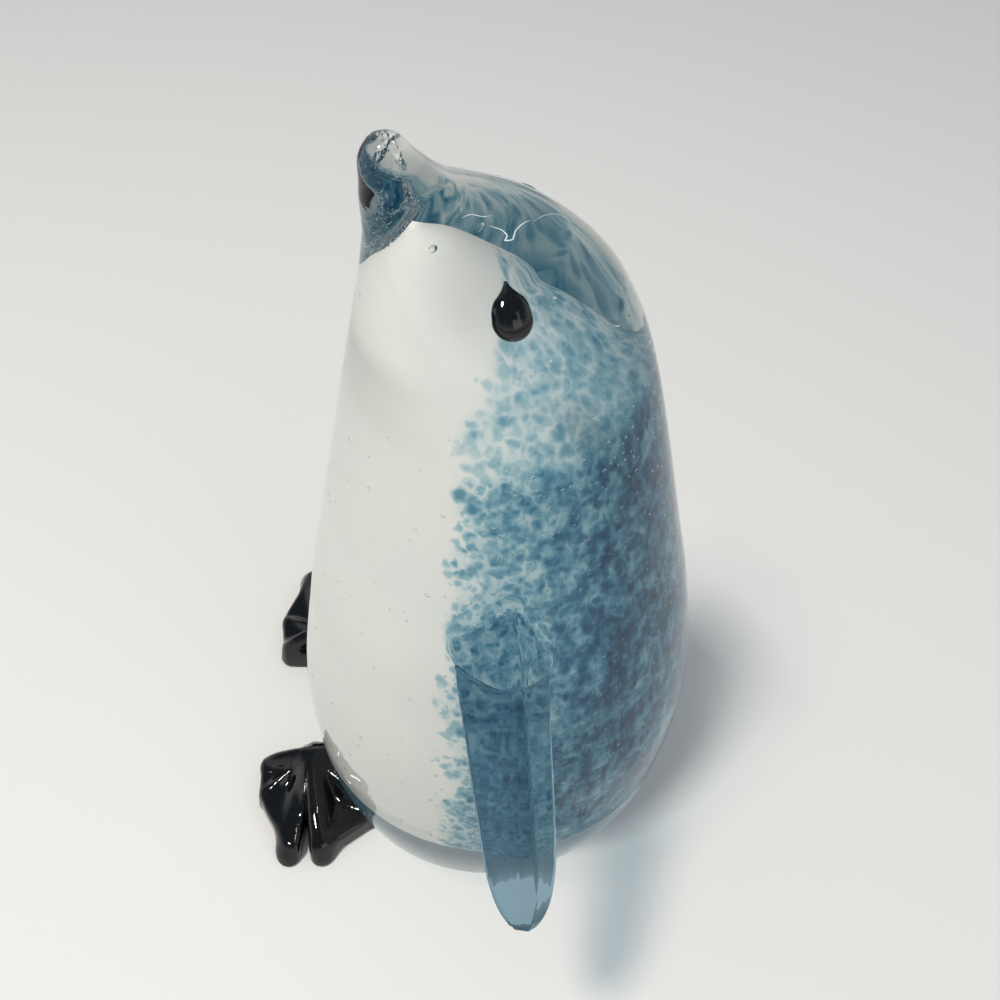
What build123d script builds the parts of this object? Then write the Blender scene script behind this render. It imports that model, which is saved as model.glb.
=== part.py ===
from build123d import *
from math import cos, radians, sin
import os

# A solid glass penguin that looks up, fused from gathers and bits of hot glass.
# Millimetres and degrees. The origin is the centre of the ground base, +Z is up,
# the belly faces -Y and the penguin's left side is +X.

# Clear body
HEIGHT = 132.0  # base to beak tip
BODY_DIAMETER = 65.6  # at its widest, low on the belly

# Coloured core inside the body
CASING_WALL = 7.0  # clear glass outside the colour
CORE_FLOOR = 11.0  # height of the colour's underside
CROWN_COVER = 13.0  # from the beak tip down to the peak of the core's crown
CROWN_RISE = 28.5  # from the core's shoulder, where its sides end, up to that peak
CROWN_LEAD = 8.2  # how far the peak lies in front of the axis
COLOUR_LAYER = 2.4  # thickness of the white and blue glass
SPLIT_AT_BASE = 7.6  # the white ends this far in front of the axis
SPLIT_AT_NECK = 0.4
SPLIT_BEHIND_CROWN = 9.0  # and this far behind it at the top
NECK_BELOW_TIP = 42.0  # from the beak tip down to the neck

# Flippers
FLIPPER_LENGTH = 42.0  # from the body's surface to the tip
FLIPPER_WIDTH = 14.6
FLIPPER_THICKNESS = 6.0
FLIPPER_ROOT_HEIGHT = 70.0
FLIPPER_ROOT_SETBACK = 4.4  # root centre behind the body's axis
FLIPPER_SPREAD = 39.5  # degrees out from hanging straight down
FLIPPER_SWEEP = 8.4  # degrees back

# Feet
FOOT_HEIGHT = 8.6
FOOT_WEB = 4.0  # thickness of the web between the toes
FOOT_LENGTH = 20.0  # from the root of the toes to the longest one's tip
TOE_WIDTH = 8.2
ANKLE_DEPTH = 4.0  # how far the ankle reaches in under the body

# Eyes
EYE_WIDTH = 5.0
EYE_LENGTH = 6.0
EYE_DEPTH = 3.2
EYE_TAIL = 1.4  # wisp where the black rod pulled away
EYE_SUNK = 0.9  # how far the bead's middle lies under the surface
EYE_BELOW_TIP = 15.5  # from the beak tip down to the eye
EYE_BEARING = 110.7  # degrees round from the beak

# Each row: share of the height, then the centre's setback and the radius there as
# shares of the diameter.
BODY_SHARES = [
    (0.000, 0.000, 0.340),
    (0.020, 0.006, 0.400),
    (0.060, 0.017, 0.442),
    (0.140, 0.025, 0.482),
    (0.260, 0.035, 0.500),
    (0.400, 0.042, 0.468),
    (0.540, 0.043, 0.413),
    (0.660, 0.044, 0.364),
    (0.760, 0.041, 0.320),
    (0.840, 0.026, 0.270),
    (0.900, -0.023, 0.200),
    (0.950, -0.134, 0.089),
    (0.985, -0.169, 0.044),
]
BEAK_TIP_SHARE = -0.168

# Each row: share of the way from the core's floor to its shoulder, and how much of
# the space inside the casing wall the core fills there.
CORE_SIDE_SHARES = [
    (0.00, 0.42),
    (0.02, 0.63),
    (0.06, 0.84),
    (0.14, 0.97),
    (0.29, 1.00),
    (0.52, 1.00),
    (0.76, 0.94),
    (1.00, 0.87),
]

# Each row: share of the rise from the shoulder to the peak, then the radius and the
# lead towards the beak as shares of the shoulder's radius and of the peak's lead.
CORE_CROWN_SHARES = [
    (0.06, 0.96, 0.03),
    (0.15, 0.90, 0.10),
    (0.30, 0.78, 0.27),
    (0.45, 0.65, 0.49),
    (0.60, 0.49, 0.64),
    (0.75, 0.33, 0.76),
    (0.88, 0.18, 0.87),
    (0.96, 0.06, 0.96),
]

# Each row: share of the length from the body's surface, then the width and the
# thickness there as shares of the root's.
FLIPPER_SHARES = [
    (-0.20, 0.70, 1.20),
    (0.00, 0.88, 1.15),
    (0.12, 0.88, 1.02),
    (0.28, 0.82, 0.85),
    (0.50, 0.75, 0.68),
    (0.72, 0.66, 0.54),
    (0.86, 0.52, 0.44),
    (0.94, 0.34, 0.31),
    (0.98, 0.17, 0.17),
    (1.00, 0.03, 0.04),
]
# Corners of the flipper's section: across from the front edge to the rear edge, and
# out from the underside, as shares of its width and thickness.
FLIPPER_CORNER_SHARES = [(-0.52, 0.00), (-0.10, -0.50), (0.56, -0.30), (0.30, 0.50)]
FLIPPER_EDGE_SHARE = 0.04  # radius of those corners

# Toes as they fan out from their root: bearing in degrees from the foot's own
# direction, then the length, width and height as shares of the foot's.
TOE_SHARES = [
    (-46.0, 0.52, 0.84, 0.86),
    (-8.0, 0.62, 0.84, 0.62),
    (35.0, 1.00, 0.72, 0.82),
    (52.0, 1.00, 0.76, 0.94),
    (91.0, 0.86, 0.62, 0.70),
]
ANKLE_SHARES = (1.15, 0.90)  # its width and height
# Each row: share of a toe's length, then its width and height there as shares.
TOE_TAPER_SHARES = [(-0.14, 0.60, 0.70), (0.10, 1.00, 1.00), (0.50, 0.98, 0.86), (0.85, 0.74, 0.58)]

WEB_REACH_SHARE = 0.92  # how far along the toes the web goes

# Width of the eye's tail where it leaves the drop, as a share of the drop's.
EYE_NECK_SHARE = 0.26

# Where each foot lies round the base and how far its toes turn out, then how far their
# root stands off the body as a share of the foot's length, and the foot's own scale.
LEFT_FOOT = {"bearing": 12.4, "turn_out": 55.0, "standoff_share": 0.32, "scale_share": 1.0}
RIGHT_FOOT = {"bearing": 32.0, "turn_out": 36.0, "standoff_share": 0.55, "scale_share": 1.06}


def level_disc(height, setback, radius):
    """A level disc whose centre lies behind the axis by the setback."""
    return Pos(0, setback, height) * Circle(radius)


def body_section(height):
    """The body's setback and radius at a height, between the rows of its table."""
    share = height / HEIGHT
    for low, high in zip(BODY_SHARES, BODY_SHARES[1:]):
        if low[0] <= share <= high[0]:
            break
    mix = (share - low[0]) / (high[0] - low[0])
    setback, radius = [a + (b - a) * mix for a, b in zip(low[1:], high[1:])]
    return setback * BODY_DIAMETER, radius * BODY_DIAMETER


def make_body():
    """The whole figure's outer form, from the ground base to the beak."""
    discs = [
        level_disc(height * HEIGHT, setback * BODY_DIAMETER, radius * BODY_DIAMETER)
        for height, setback, radius in BODY_SHARES
    ]
    return loft(discs + [Vertex(0, BEAK_TIP_SHARE * BODY_DIAMETER, HEIGHT)])


def make_core(cover):
    """The core under this thickness of glass: rounded below, an oblique cone above."""
    colour = cover - CASING_WALL
    floor = CORE_FLOOR + colour
    shoulder = HEIGHT - CROWN_COVER - CROWN_RISE
    discs = []
    for rise, fullness in CORE_SIDE_SHARES:
        height = floor + rise * (shoulder - floor)
        setback, body_radius = body_section(height)
        shoulder_radius = (body_radius - cover) * fullness
        discs.append(level_disc(height, setback, shoulder_radius))
    crown = CROWN_RISE - colour
    lead = setback + CROWN_LEAD
    for rise, radius, forward in CORE_CROWN_SHARES:
        discs.append(level_disc(shoulder + rise * crown, setback - forward * lead, radius * shoulder_radius))
    return loft(discs + [Vertex(0, -CROWN_LEAD, shoulder + crown)])


def make_front_space():
    """The space in front of the line where the white glass meets the blue."""
    outline = Polyline(
        (-BODY_DIAMETER, 0),
        (-SPLIT_AT_BASE, 0),
        (-SPLIT_AT_NECK, HEIGHT - NECK_BELOW_TIP),
        (SPLIT_BEHIND_CROWN, HEIGHT),
        (-BODY_DIAMETER, HEIGHT),
        close=True,
    )
    return extrude(Plane.YZ * make_face(outline), BODY_DIAMETER, both=True)


def make_flipper():
    """The left flipper: a wedge-shaped clear bit, pulled down and out to a point."""
    setback, body_radius = body_section(FLIPPER_ROOT_HEIGHT)
    root_x = (body_radius**2 - (FLIPPER_ROOT_SETBACK - setback) ** 2) ** 0.5
    root = Vector(root_x, FLIPPER_ROOT_SETBACK, FLIPPER_ROOT_HEIGHT)
    spread = radians(FLIPPER_SPREAD)
    sweep = radians(FLIPPER_SWEEP)
    along = Vector(sin(spread) * cos(sweep), sin(sweep), -cos(spread) * cos(sweep))
    outward = Vector(cos(spread), 0, sin(spread))
    backward = outward.cross(along)
    wedge = make_face(Polyline(*FLIPPER_CORNER_SHARES, close=True))
    wedge = fillet(wedge.vertices(), FLIPPER_EDGE_SHARE)
    faces = []
    for reach, width, thickness in FLIPPER_SHARES:
        section = scale(wedge, by=(width * FLIPPER_WIDTH, thickness * FLIPPER_THICKNESS, 1))
        faces.append(Plane(root + along * (reach * FLIPPER_LENGTH), x_dir=backward, z_dir=along) * section)
    return loft(faces)


def make_toe(bearing, length, width_share, height_share):
    """One toe that lies flat and points along its bearing from the foot's root."""
    half_width = TOE_WIDTH * width_share / 2
    height = FOOT_HEIGHT * height_share
    faces = []
    for reach, width, tall in TOE_TAPER_SHARES:
        oval = scale(Circle(1), by=(half_width * width, height * tall, 1))
        faces.append(Plane((0, -reach * length, 0), x_dir=(1, 0, 0), z_dir=(0, -1, 0)) * oval)
    return Rot(0, 0, bearing) * loft(faces + [Vertex(0, -length, 0)])


def make_web(limbs):
    """The thin pad that joins the toes and the ankle and stops short of their tips."""
    rim = []
    for bearing, length, _, _ in limbs:
        reach = length * WEB_REACH_SHARE
        rim.append((sin(radians(bearing)) * reach, -cos(radians(bearing)) * reach))
    return extrude(make_face(Polyline(*rim, close=True)), FOOT_WEB)


def make_foot(body, bearing, turn_out, standoff_share, scale_share):
    """A webbed foot that turns towards +X: toes, the ankle behind them and the web."""
    limbs = [(turn, share * FOOT_LENGTH, width, height) for turn, share, width, height in TOE_SHARES]
    standoff = standoff_share * FOOT_LENGTH
    limbs.append((180 + bearing - turn_out, (standoff + ANKLE_DEPTH) / scale_share, *ANKLE_SHARES))
    foot = make_web(limbs)
    for limb in limbs:
        foot += make_toe(*limb)
    setback, body_radius = body_section(FOOT_HEIGHT / 2)
    turn = radians(bearing)
    reach = body_radius + standoff
    root = Pos(sin(turn) * reach, setback - cos(turn) * reach, 0)
    around = BODY_DIAMETER * 3
    above_ground = Box(around, around, HEIGHT, align=(Align.CENTER, Align.CENTER, Align.MIN))
    return (root * Rot(0, 0, turn_out) * scale(foot, by=scale_share) & above_ground) - body


def make_eye(body):
    """The left eye: a black drop seated in the body's surface, its tail upwards."""
    turn = radians(EYE_BEARING)
    ray = Axis((0, 0, HEIGHT - EYE_BELOW_TIP), (sin(turn), -cos(turn), 0))
    side = body.faces().sort_by(SortBy.AREA)[-1]
    point, normal = side.find_intersection_points(ray)[-1]
    radius = EYE_WIDTH / 2
    low = -EYE_LENGTH / 2
    bowl = CenterArc((0, low + radius), radius, -90, 90)
    tail = Spline(
        bowl @ 1,
        (radius * EYE_NECK_SHARE, -low),
        (0, EYE_TAIL - low),
        tangents=[(0, 1), (0, 1)],
    )
    half = make_face(bowl + tail + Line(tail @ 1, bowl @ 0))
    drop = scale(revolve(half, Axis.Y), by=(1, 1, EYE_DEPTH / EYE_WIDTH))
    seat = Plane(point - normal * EYE_SUNK, x_dir=Vector(0, 0, 1).cross(normal), z_dir=normal)
    return seat * drop


def mirrored(shape):
    """The same piece on the penguin's other side."""
    return mirror(shape, Plane.YZ)


def main():
    """Make every piece and write each to a file of its own."""
    body = make_body()
    core = make_core(CASING_WALL)
    gather = make_core(CASING_WALL + COLOUR_LAYER)
    colour = core - gather
    front = make_front_space()
    flipper = make_flipper() - body
    eye = make_eye(body)
    pieces = {
        "clear_casing": body - core - eye - mirrored(eye),
        "white_front_layer": colour & front,
        "blue_back_layer": colour - front,
        "clear_inner_gather": gather,
        "left_flipper": flipper,
        "right_flipper": mirrored(flipper),
        "left_foot": make_foot(body, **LEFT_FOOT),
        "right_foot": mirrored(make_foot(body, **RIGHT_FOOT)),
        "left_eye": eye,
        "right_eye": mirrored(eye),
    }
    os.makedirs("parts", exist_ok=True)
    for name, shape in pieces.items():
        export_step(shape, f"parts/{name}.step")


main()
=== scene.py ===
"""Dresses a solid glass penguin figurine: clear casing, coloured core, feet, eyes and bubbles."""

import logging
import math
from dataclasses import dataclass
from enum import Enum
from typing import Callable, Sequence

import bpy
import numpy as np
from mathutils import Matrix, Vector


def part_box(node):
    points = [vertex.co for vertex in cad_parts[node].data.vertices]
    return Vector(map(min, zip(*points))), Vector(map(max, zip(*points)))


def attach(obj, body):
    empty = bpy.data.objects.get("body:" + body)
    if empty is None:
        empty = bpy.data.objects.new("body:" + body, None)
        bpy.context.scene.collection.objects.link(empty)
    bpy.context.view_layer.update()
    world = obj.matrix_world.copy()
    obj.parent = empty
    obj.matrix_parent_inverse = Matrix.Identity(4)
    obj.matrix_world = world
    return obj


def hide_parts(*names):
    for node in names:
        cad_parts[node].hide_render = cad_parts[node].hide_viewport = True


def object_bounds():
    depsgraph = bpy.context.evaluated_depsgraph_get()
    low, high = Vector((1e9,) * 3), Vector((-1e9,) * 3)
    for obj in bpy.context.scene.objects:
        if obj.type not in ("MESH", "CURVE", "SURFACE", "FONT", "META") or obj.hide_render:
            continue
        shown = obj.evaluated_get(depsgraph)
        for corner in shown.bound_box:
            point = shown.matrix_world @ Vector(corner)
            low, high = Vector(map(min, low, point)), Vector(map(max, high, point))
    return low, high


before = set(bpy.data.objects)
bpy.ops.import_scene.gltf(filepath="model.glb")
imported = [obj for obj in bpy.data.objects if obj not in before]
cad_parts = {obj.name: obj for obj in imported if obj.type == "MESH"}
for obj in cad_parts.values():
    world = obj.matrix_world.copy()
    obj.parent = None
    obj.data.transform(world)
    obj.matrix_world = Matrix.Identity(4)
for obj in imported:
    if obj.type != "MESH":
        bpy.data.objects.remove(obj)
CAD_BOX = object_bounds()

Points = np.ndarray
Field = Callable[[Points], np.ndarray]
MM = 0.001
ROOT = "root"

log = logging.getLogger("penguin")


class Side(Enum):
    """The penguin's own sides, as the sign of X there."""

    LEFT = 1.0
    RIGHT = -1.0

    def mirror(self, at: Points) -> Points:
        """Takes points of this side to the left side."""
        return at * np.array([self.value, 1.0, 1.0])


class Slot(Enum):
    """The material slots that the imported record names."""

    CLEAR = "clear_glass"
    WHITE = "white_opal_glass"
    BLUE = "blue_frit_glass"
    BLACK = "black_glass"


@dataclass(frozen=True)
class Eased:
    """A smooth curve through knots that never overshoots them."""

    knots: Sequence[float]
    values: Sequence[float]

    def __call__(self, at: np.ndarray) -> np.ndarray:
        """Reads the curve.

        Args:
            at: where to read it; past the ends it holds the end values.

        Returns:
            The curve's values there.
        """
        x, y = np.asarray(self.knots, float), np.asarray(self.values, float)
        gaps, rises = np.diff(x), np.diff(y) / np.diff(x)
        slopes = np.zeros_like(y)
        same = rises[:-1] * rises[1:] > 0
        first, second = 2 * gaps[1:] + gaps[:-1], gaps[1:] + 2 * gaps[:-1]
        with np.errstate(divide="ignore", invalid="ignore"):
            inner = (first + second) / (first / rises[:-1] + second / rises[1:])
        slopes[1:-1] = np.where(same, inner, 0.0)
        slopes[0], slopes[-1] = rises[0], rises[-1]
        at = np.clip(at, x[0], x[-1])
        span = np.clip(np.searchsorted(x, at, side="right") - 1, 0, len(gaps) - 1)
        t = (at - x[span]) / gaps[span]
        low = (1 + 2 * t) * (1 - t) ** 2 * y[span] + t * (1 - t) ** 2 * gaps[span] * slopes[span]
        high = t * t * (3 - 2 * t) * y[span + 1] + t * t * (t - 1) * gaps[span] * slopes[span + 1]
        return low + high


def melted(a: np.ndarray, b: np.ndarray, blend: float) -> np.ndarray:
    """Joins two fields as hot glass joins, with a fillet.

    Args:
        a: distances to the first form, negative inside.
        b: distances to the second.
        blend: the fillet's size.

    Returns:
        Distances to the joined form.
    """
    mix = np.clip(0.5 + 0.5 * (b - a) / blend, 0.0, 1.0)
    return b * (1 - mix) + a * mix - blend * mix * (1 - mix)


def shared(a: np.ndarray, b: np.ndarray, blend: float) -> np.ndarray:
    """The space inside both of two fields, its edge rounded by the blend."""
    return -melted(-a, -b, blend)


def gradient(form: Field, at: Points, step: float = 0.02 * MM) -> Points:
    """The direction in which a field grows fastest, with its steepness.

    Args:
        form: the field.
        at: points to measure it at.
        step: half the distance between samples.

    Returns:
        One vector for each point.
    """
    axes = np.eye(3) * step
    return np.stack([form(at + axis) - form(at - axis) for axis in axes], axis=-1) / (2 * step)


def marks(low: float, high: float, cell: float, fine: Sequence[tuple[float, float]]) -> np.ndarray:
    """Spaces the marks along an axis, closer together inside some spans.

    Args:
        low: the lowest place that matters.
        high: the highest.
        cell: the usual gap; inside the spans it is 0.4 of this.
        fine: the spans, as pairs of ends.

    Returns:
        The marks, from a little below the lowest place to a little above the highest.
    """
    places = [low - 2 * cell]
    while places[-1] < high + 2 * cell:
        close = any(start <= places[-1] < end for start, end in fine)
        places.append(places[-1] + cell * (0.4 if close else 1.0))
    return np.array(places)


def skin_of(form: Field, axes: Sequence[np.ndarray]) -> tuple[Points, np.ndarray]:
    """Wraps a field's zero level in a closed net of quads, one point for each cell it crosses.

    Args:
        form: distances, negative inside.
        axes: the marks along each axis that part the space into cells.

    Returns:
        The net's points and its quads, facing outwards.
    """
    grid = np.stack(np.meshgrid(*axes, indexing="ij"), axis=-1)
    shape = grid.shape[:3]
    value = np.concatenate([form(layer.reshape(-1, 3)) for layer in grid]).reshape(shape)
    inside = value < 0
    corners = [(i, j, k) for i in (0, 1) for j in (0, 1) for k in (0, 1)]
    cut = [tuple(slice(c, n - 1 + c) for c, n in zip(corner, shape)) for corner in corners]
    count = sum(inside[part].astype(int) for part in cut)
    crossed = (count > 0) & (count < 8)
    where = np.argwhere(crossed)
    number = np.full(crossed.shape, -1)
    number[tuple(where.T)] = np.arange(len(where))
    total, hits = np.zeros((len(where), 3)), np.zeros(len(where))
    for a in corners:
        for axis in range(3):
            if a[axis]:
                continue
            b = tuple(c + (n == axis) for n, c in enumerate(a))
            start, end = where + a, where + b
            v0, v1 = value[tuple(start.T)], value[tuple(end.T)]
            split = (v0 < 0) != (v1 < 0)
            share = np.where(split, v0 / np.where(split, v0 - v1, 1.0), 0.0)[:, None]
            total += np.where(split[:, None], start + (end - start) * share, 0.0)
            hits += split
    steps = total / hits[:, None]
    places = [np.interp(steps[:, n], np.arange(len(axis)), axis) for n, axis in enumerate(axes)]
    points = np.stack(places, axis=1)
    quads = []
    for axis in range(3):
        side, up = [n for n in range(3) if n != axis]
        here = tuple(slice(None, -1) if n == axis else slice(1, -1) for n in range(3))
        there = tuple(slice(1, None) if n == axis else slice(1, -1) for n in range(3))
        turn = inside[here].astype(int) - inside[there].astype(int)
        edges = np.argwhere(turn != 0)
        facing = turn[tuple(edges.T)]
        base = edges + np.array([n != axis for n in range(3)], int)
        ring = []
        for du, dv in ((0, 0), (1, 0), (1, 1), (0, 1)):
            offset = np.zeros(3, int)
            offset[side], offset[up] = -du, -dv
            ring.append(number[tuple((base + offset).T)])
        ring = np.stack(ring, axis=1)
        flip = (facing < 0) ^ (axis == 1)
        ring[flip] = ring[flip][:, ::-1]
        quads.append(ring)
    return points, np.concatenate(quads)


def settle(form: Field, points: Points, quads: np.ndarray, rounds: int = 5) -> Points:
    """Evens out a net of quads along its field's zero level and pulls it exactly onto it.

    Args:
        form: the field.
        points: the net's points.
        quads: its faces.
        rounds: how often to even it out.

    Returns:
        The settled points.
    """
    pairs = np.concatenate([quads[:, [0, 1]], quads[:, [1, 2]], quads[:, [2, 3]], quads[:, [3, 0]]])
    ends = np.concatenate([pairs[:, 0], pairs[:, 1]])
    others = np.concatenate([pairs[:, 1], pairs[:, 0]])
    count = np.bincount(ends, minlength=len(points))[:, None]
    for turn in range(rounds + 2):
        slope = gradient(form, points)
        steep = np.maximum((slope**2).sum(axis=1, keepdims=True), 0.05)
        move = -form(points)[:, None] * slope / steep
        if turn < rounds:
            sums = [np.bincount(ends, points[others, n], minlength=len(points)) for n in range(3)]
            even = 0.5 * (np.stack(sums, axis=1) / count - points)
            move += even - (even * slope).sum(axis=1, keepdims=True) * slope / steep
        points = points + move
    return points


def new_piece(name: str, points: Points, faces: Sequence[Sequence[int]]) -> bpy.types.Object:
    """Makes a smooth mesh object at the origin.

    Args:
        name: the object's name.
        points: its points in metres.
        faces: the corners of each face.

    Returns:
        The object, linked to the scene.
    """
    mesh = bpy.data.meshes.new(name)
    mesh.from_pydata([tuple(p) for p in points], [], [tuple(int(i) for i in f) for f in faces])
    mesh.validate()
    mesh.shade_smooth()
    piece = bpy.data.objects.new(name, mesh)
    bpy.context.scene.collection.objects.link(piece)
    return piece


def grown_piece(
    name: str, form: Field, low: Points, high: Points, cell: float, fine: Sequence[Sequence] = ((), (), ())
) -> bpy.types.Object:
    """Makes a closed mesh of a field's zero level, with the field's own exact normals.

    Args:
        name: the object's name.
        form: distances, negative inside.
        low: the lowest corner of the space it fills.
        high: the highest.
        cell: the size of its faces.
        fine: along each axis, the spans where they are smaller.

    Returns:
        The object.
    """
    points, quads = skin_of(form, [marks(a, b, cell, spans) for a, b, spans in zip(low, high, fine)])
    points = settle(form, points, quads)
    piece = new_piece(name, points, quads)
    normals = gradient(form, points)
    normals /= np.linalg.norm(normals, axis=1, keepdims=True)
    piece.data.normals_split_custom_set_from_vertices(normals.tolist())
    log.info("%s: %d points", name, len(points))
    return piece


def spun(rings: Sequence[Points], low: Points, high: Points) -> tuple[Points, list[tuple]]:
    """Nets a closed surface over a row of rings.

    Args:
        rings: the rings, each of as many points, anticlockwise seen from the high end.
        low: the point that closes the first ring.
        high: the point that closes the last.

    Returns:
        All the points, and the faces, facing outwards.
    """
    count, last = len(rings[0]), len(rings) - 1
    points = np.concatenate([*rings, [low, high]])
    bottom, top = len(points) - 2, len(points) - 1
    faces = []
    for n in range(count):
        m = (n + 1) % count
        faces.append((bottom, m, n))
        faces.append((last * count + n, last * count + m, top))
        starts = range(0, last * count, count)
        faces.extend((k + n, k + m, k + count + m, k + count + n) for k in starts)
    return points, faces


def joined(parts: Sequence[tuple[Points, list[tuple]]]) -> tuple[Points, list[tuple]]:
    """Puts several closed surfaces into one list of points and one of faces.

    Args:
        parts: the points and the faces of each surface.

    Returns:
        All the points and all the faces.
    """
    points, faces, start = [], [], 0
    for own, skin in parts:
        points.append(own)
        faces += [tuple(start + corner for corner in face) for face in skin]
        start += len(own)
    return np.concatenate(points), faces


def finish_piece(piece: bpy.types.Object, material: bpy.types.Material, slot: Slot, *nodes: str) -> None:
    """Dresses a piece, fixes it to the figurine and hides any CAD nodes it replaces.

    Args:
        piece: the object.
        material: its finish.
        slot: the record's slot for that finish; not used.
        nodes: the CAD nodes that it replaces.
    """
    piece.data.materials.clear()
    piece.data.materials.append(material)
    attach(piece, ROOT)
    if nodes:
        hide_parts(*nodes)
    log.info("%s is in place", piece.name)


def grow_black(name: str, node: str, form: Field, cell: float, material: bpy.types.Material) -> None:
    """Grows a piece of black glass over its CAD node and puts it in the node's place.

    Args:
        name: the piece's name.
        node: the CAD node.
        form: distances, negative inside.
        cell: the size of its faces.
        material: its finish.
    """
    margin = 1.0 * MM
    low, high = (np.array(corner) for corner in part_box(node))
    piece = grown_piece(name, form, low - margin, high + margin, cell)
    finish_piece(piece, material, Slot.BLACK, node)


def along_and_across(local: Points, turn: float) -> tuple[np.ndarray, np.ndarray]:
    """Splits places on the ground into how far they lie along a bearing and across it.

    Args:
        local: points, measured from where the bearing starts.
        turn: the bearing in radians, from the front towards the side.

    Returns:
        The distances along it and across it.
    """
    along = local[:, 0] * math.sin(turn) - local[:, 1] * math.cos(turn)
    across = local[:, 0] * math.cos(turn) + local[:, 1] * math.sin(turn)
    return along, across


@dataclass(frozen=True)
class Body:
    """The clear outer form: round in plan, its axis leaning towards the beak at the top.

    The shares are the rounded results of a least-squares fit. They aren't driving sizes.
    """

    height: float = 132.0 * MM
    diameter: float = 65.6 * MM
    rim: float = 3.6 * MM
    height_shares: tuple = (
        0.0, 0.02, 0.06, 0.14, 0.26, 0.40, 0.54, 0.66, 0.76, 0.84, 0.90, 0.95, 0.985, 0.994, 1.0,
    )
    setback_shares: tuple = (
        0.0, 0.006, 0.017, 0.025, 0.035, 0.042, 0.043, 0.044,
        0.041, 0.026, -0.023, -0.134, -0.169, -0.170, -0.168,
    )
    radius_shares: tuple = (
        0.34, 0.40, 0.442, 0.482, 0.50, 0.468, 0.413, 0.364,
        0.320, 0.270, 0.200, 0.089, 0.044, 0.029, 0.0,
    )
    slope_step: float = 0.5 * MM
    cap_slope: float = 0.7

    def setback(self, height: np.ndarray) -> np.ndarray:
        """How far behind the origin the axis lies at a height."""
        return self.diameter * Eased(self.height_shares, self.setback_shares)(height / self.height)

    def radius(self, height: np.ndarray) -> np.ndarray:
        """The form's radius at a height."""
        return self.diameter * Eased(self.height_shares, self.radius_shares)(height / self.height)

    def distance(self, at: Points) -> np.ndarray:
        """The form's field, cut flat at the base with a small rounded rim."""
        height = at[:, 2]
        radius = self.radius(height)
        step = self.slope_step
        slope = (self.radius(height + step) - self.radius(height - step)) / (2 * step)
        across = np.hypot(at[:, 0], at[:, 1] - self.setback(height)) - radius
        side = across / np.sqrt(1 + slope**2)
        side = np.maximum(side, (height - self.height) * self.cap_slope)
        return shared(side, -height, self.rim)


@dataclass(frozen=True)
class Flipper:
    """A wedge-shaped clear bit, pulled down and out of the body's side to a point."""

    body: Body
    side: Side
    length: float = 41.3 * MM
    width: float = 14.6 * MM
    thickness: float = 6.0 * MM
    root_height: float = 70.0 * MM
    root_setback: float = 4.4 * MM
    spread: float = math.radians(39.5)
    sweep: float = math.radians(8.4)
    edge: float = 0.7 * MM
    edge_share: float = 0.22
    reach_shares: tuple = (-0.20, -0.06, 0.0, 0.12, 0.28, 0.50, 0.72, 0.86, 0.94, 0.98, 1.0)
    width_shares: tuple = (0.70, 0.84, 0.88, 0.87, 0.82, 0.77, 0.71, 0.58, 0.40, 0.21, 0.0)
    thickness_shares: tuple = (1.2, 1.2, 1.15, 1.02, 0.85, 0.68, 0.54, 0.44, 0.31, 0.17, 0.0)
    corner_shares: tuple = ((-0.47, 0.00), (0.02, -0.34), (0.54, -0.36), (0.28, 0.50))

    def distance(self, at: Points) -> np.ndarray:
        """The flipper's field: the space inside all four faces of its wedge."""
        root_radius = float(self.body.radius(np.array(self.root_height)))
        behind = self.root_setback - float(self.body.setback(np.array(self.root_height)))
        root = np.array([math.sqrt(root_radius**2 - behind**2), self.root_setback, self.root_height])
        down = np.array([math.sin(self.spread), 0.0, -math.cos(self.spread)])
        along = down * math.cos(self.sweep) + (0.0, math.sin(self.sweep), 0.0)
        outward = np.array([math.cos(self.spread), 0.0, math.sin(self.spread)])
        backward = np.cross(outward, along)
        local = self.side.mirror(at) - root
        reach = local @ along / self.length
        across, out = local @ backward, local @ outward
        width = self.width * Eased(self.reach_shares, self.width_shares)(reach)
        thickness = self.thickness * Eased(self.reach_shares, self.thickness_shares)(reach)
        round_ = np.minimum(self.edge, self.edge_share * thickness)
        corners = [(a * (width - 2 * round_), o * (thickness - 2 * round_)) for a, o in self.corner_shares]
        near, inside = np.full(len(at), np.inf), np.full(len(at), True)
        for (a0, o0), (a1, o1) in zip(corners, corners[1:] + corners[:1]):
            run, rise = a1 - a0, o1 - o0
            share = ((across - a0) * run + (out - o0) * rise) / np.maximum(run**2 + rise**2, 1e-12)
            share = np.clip(share, 0.0, 1.0)
            near = np.minimum(near, np.hypot(across - a0 - share * run, out - o0 - share * rise))
            inside &= (across - a0) * rise - (out - o0) * run < 0
        wedge = np.where(inside, -near, near) - round_
        ends = np.maximum((reach - 1.0) * self.length, (self.reach_shares[0] - reach) * self.length)
        return np.maximum(wedge, ends)


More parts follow.
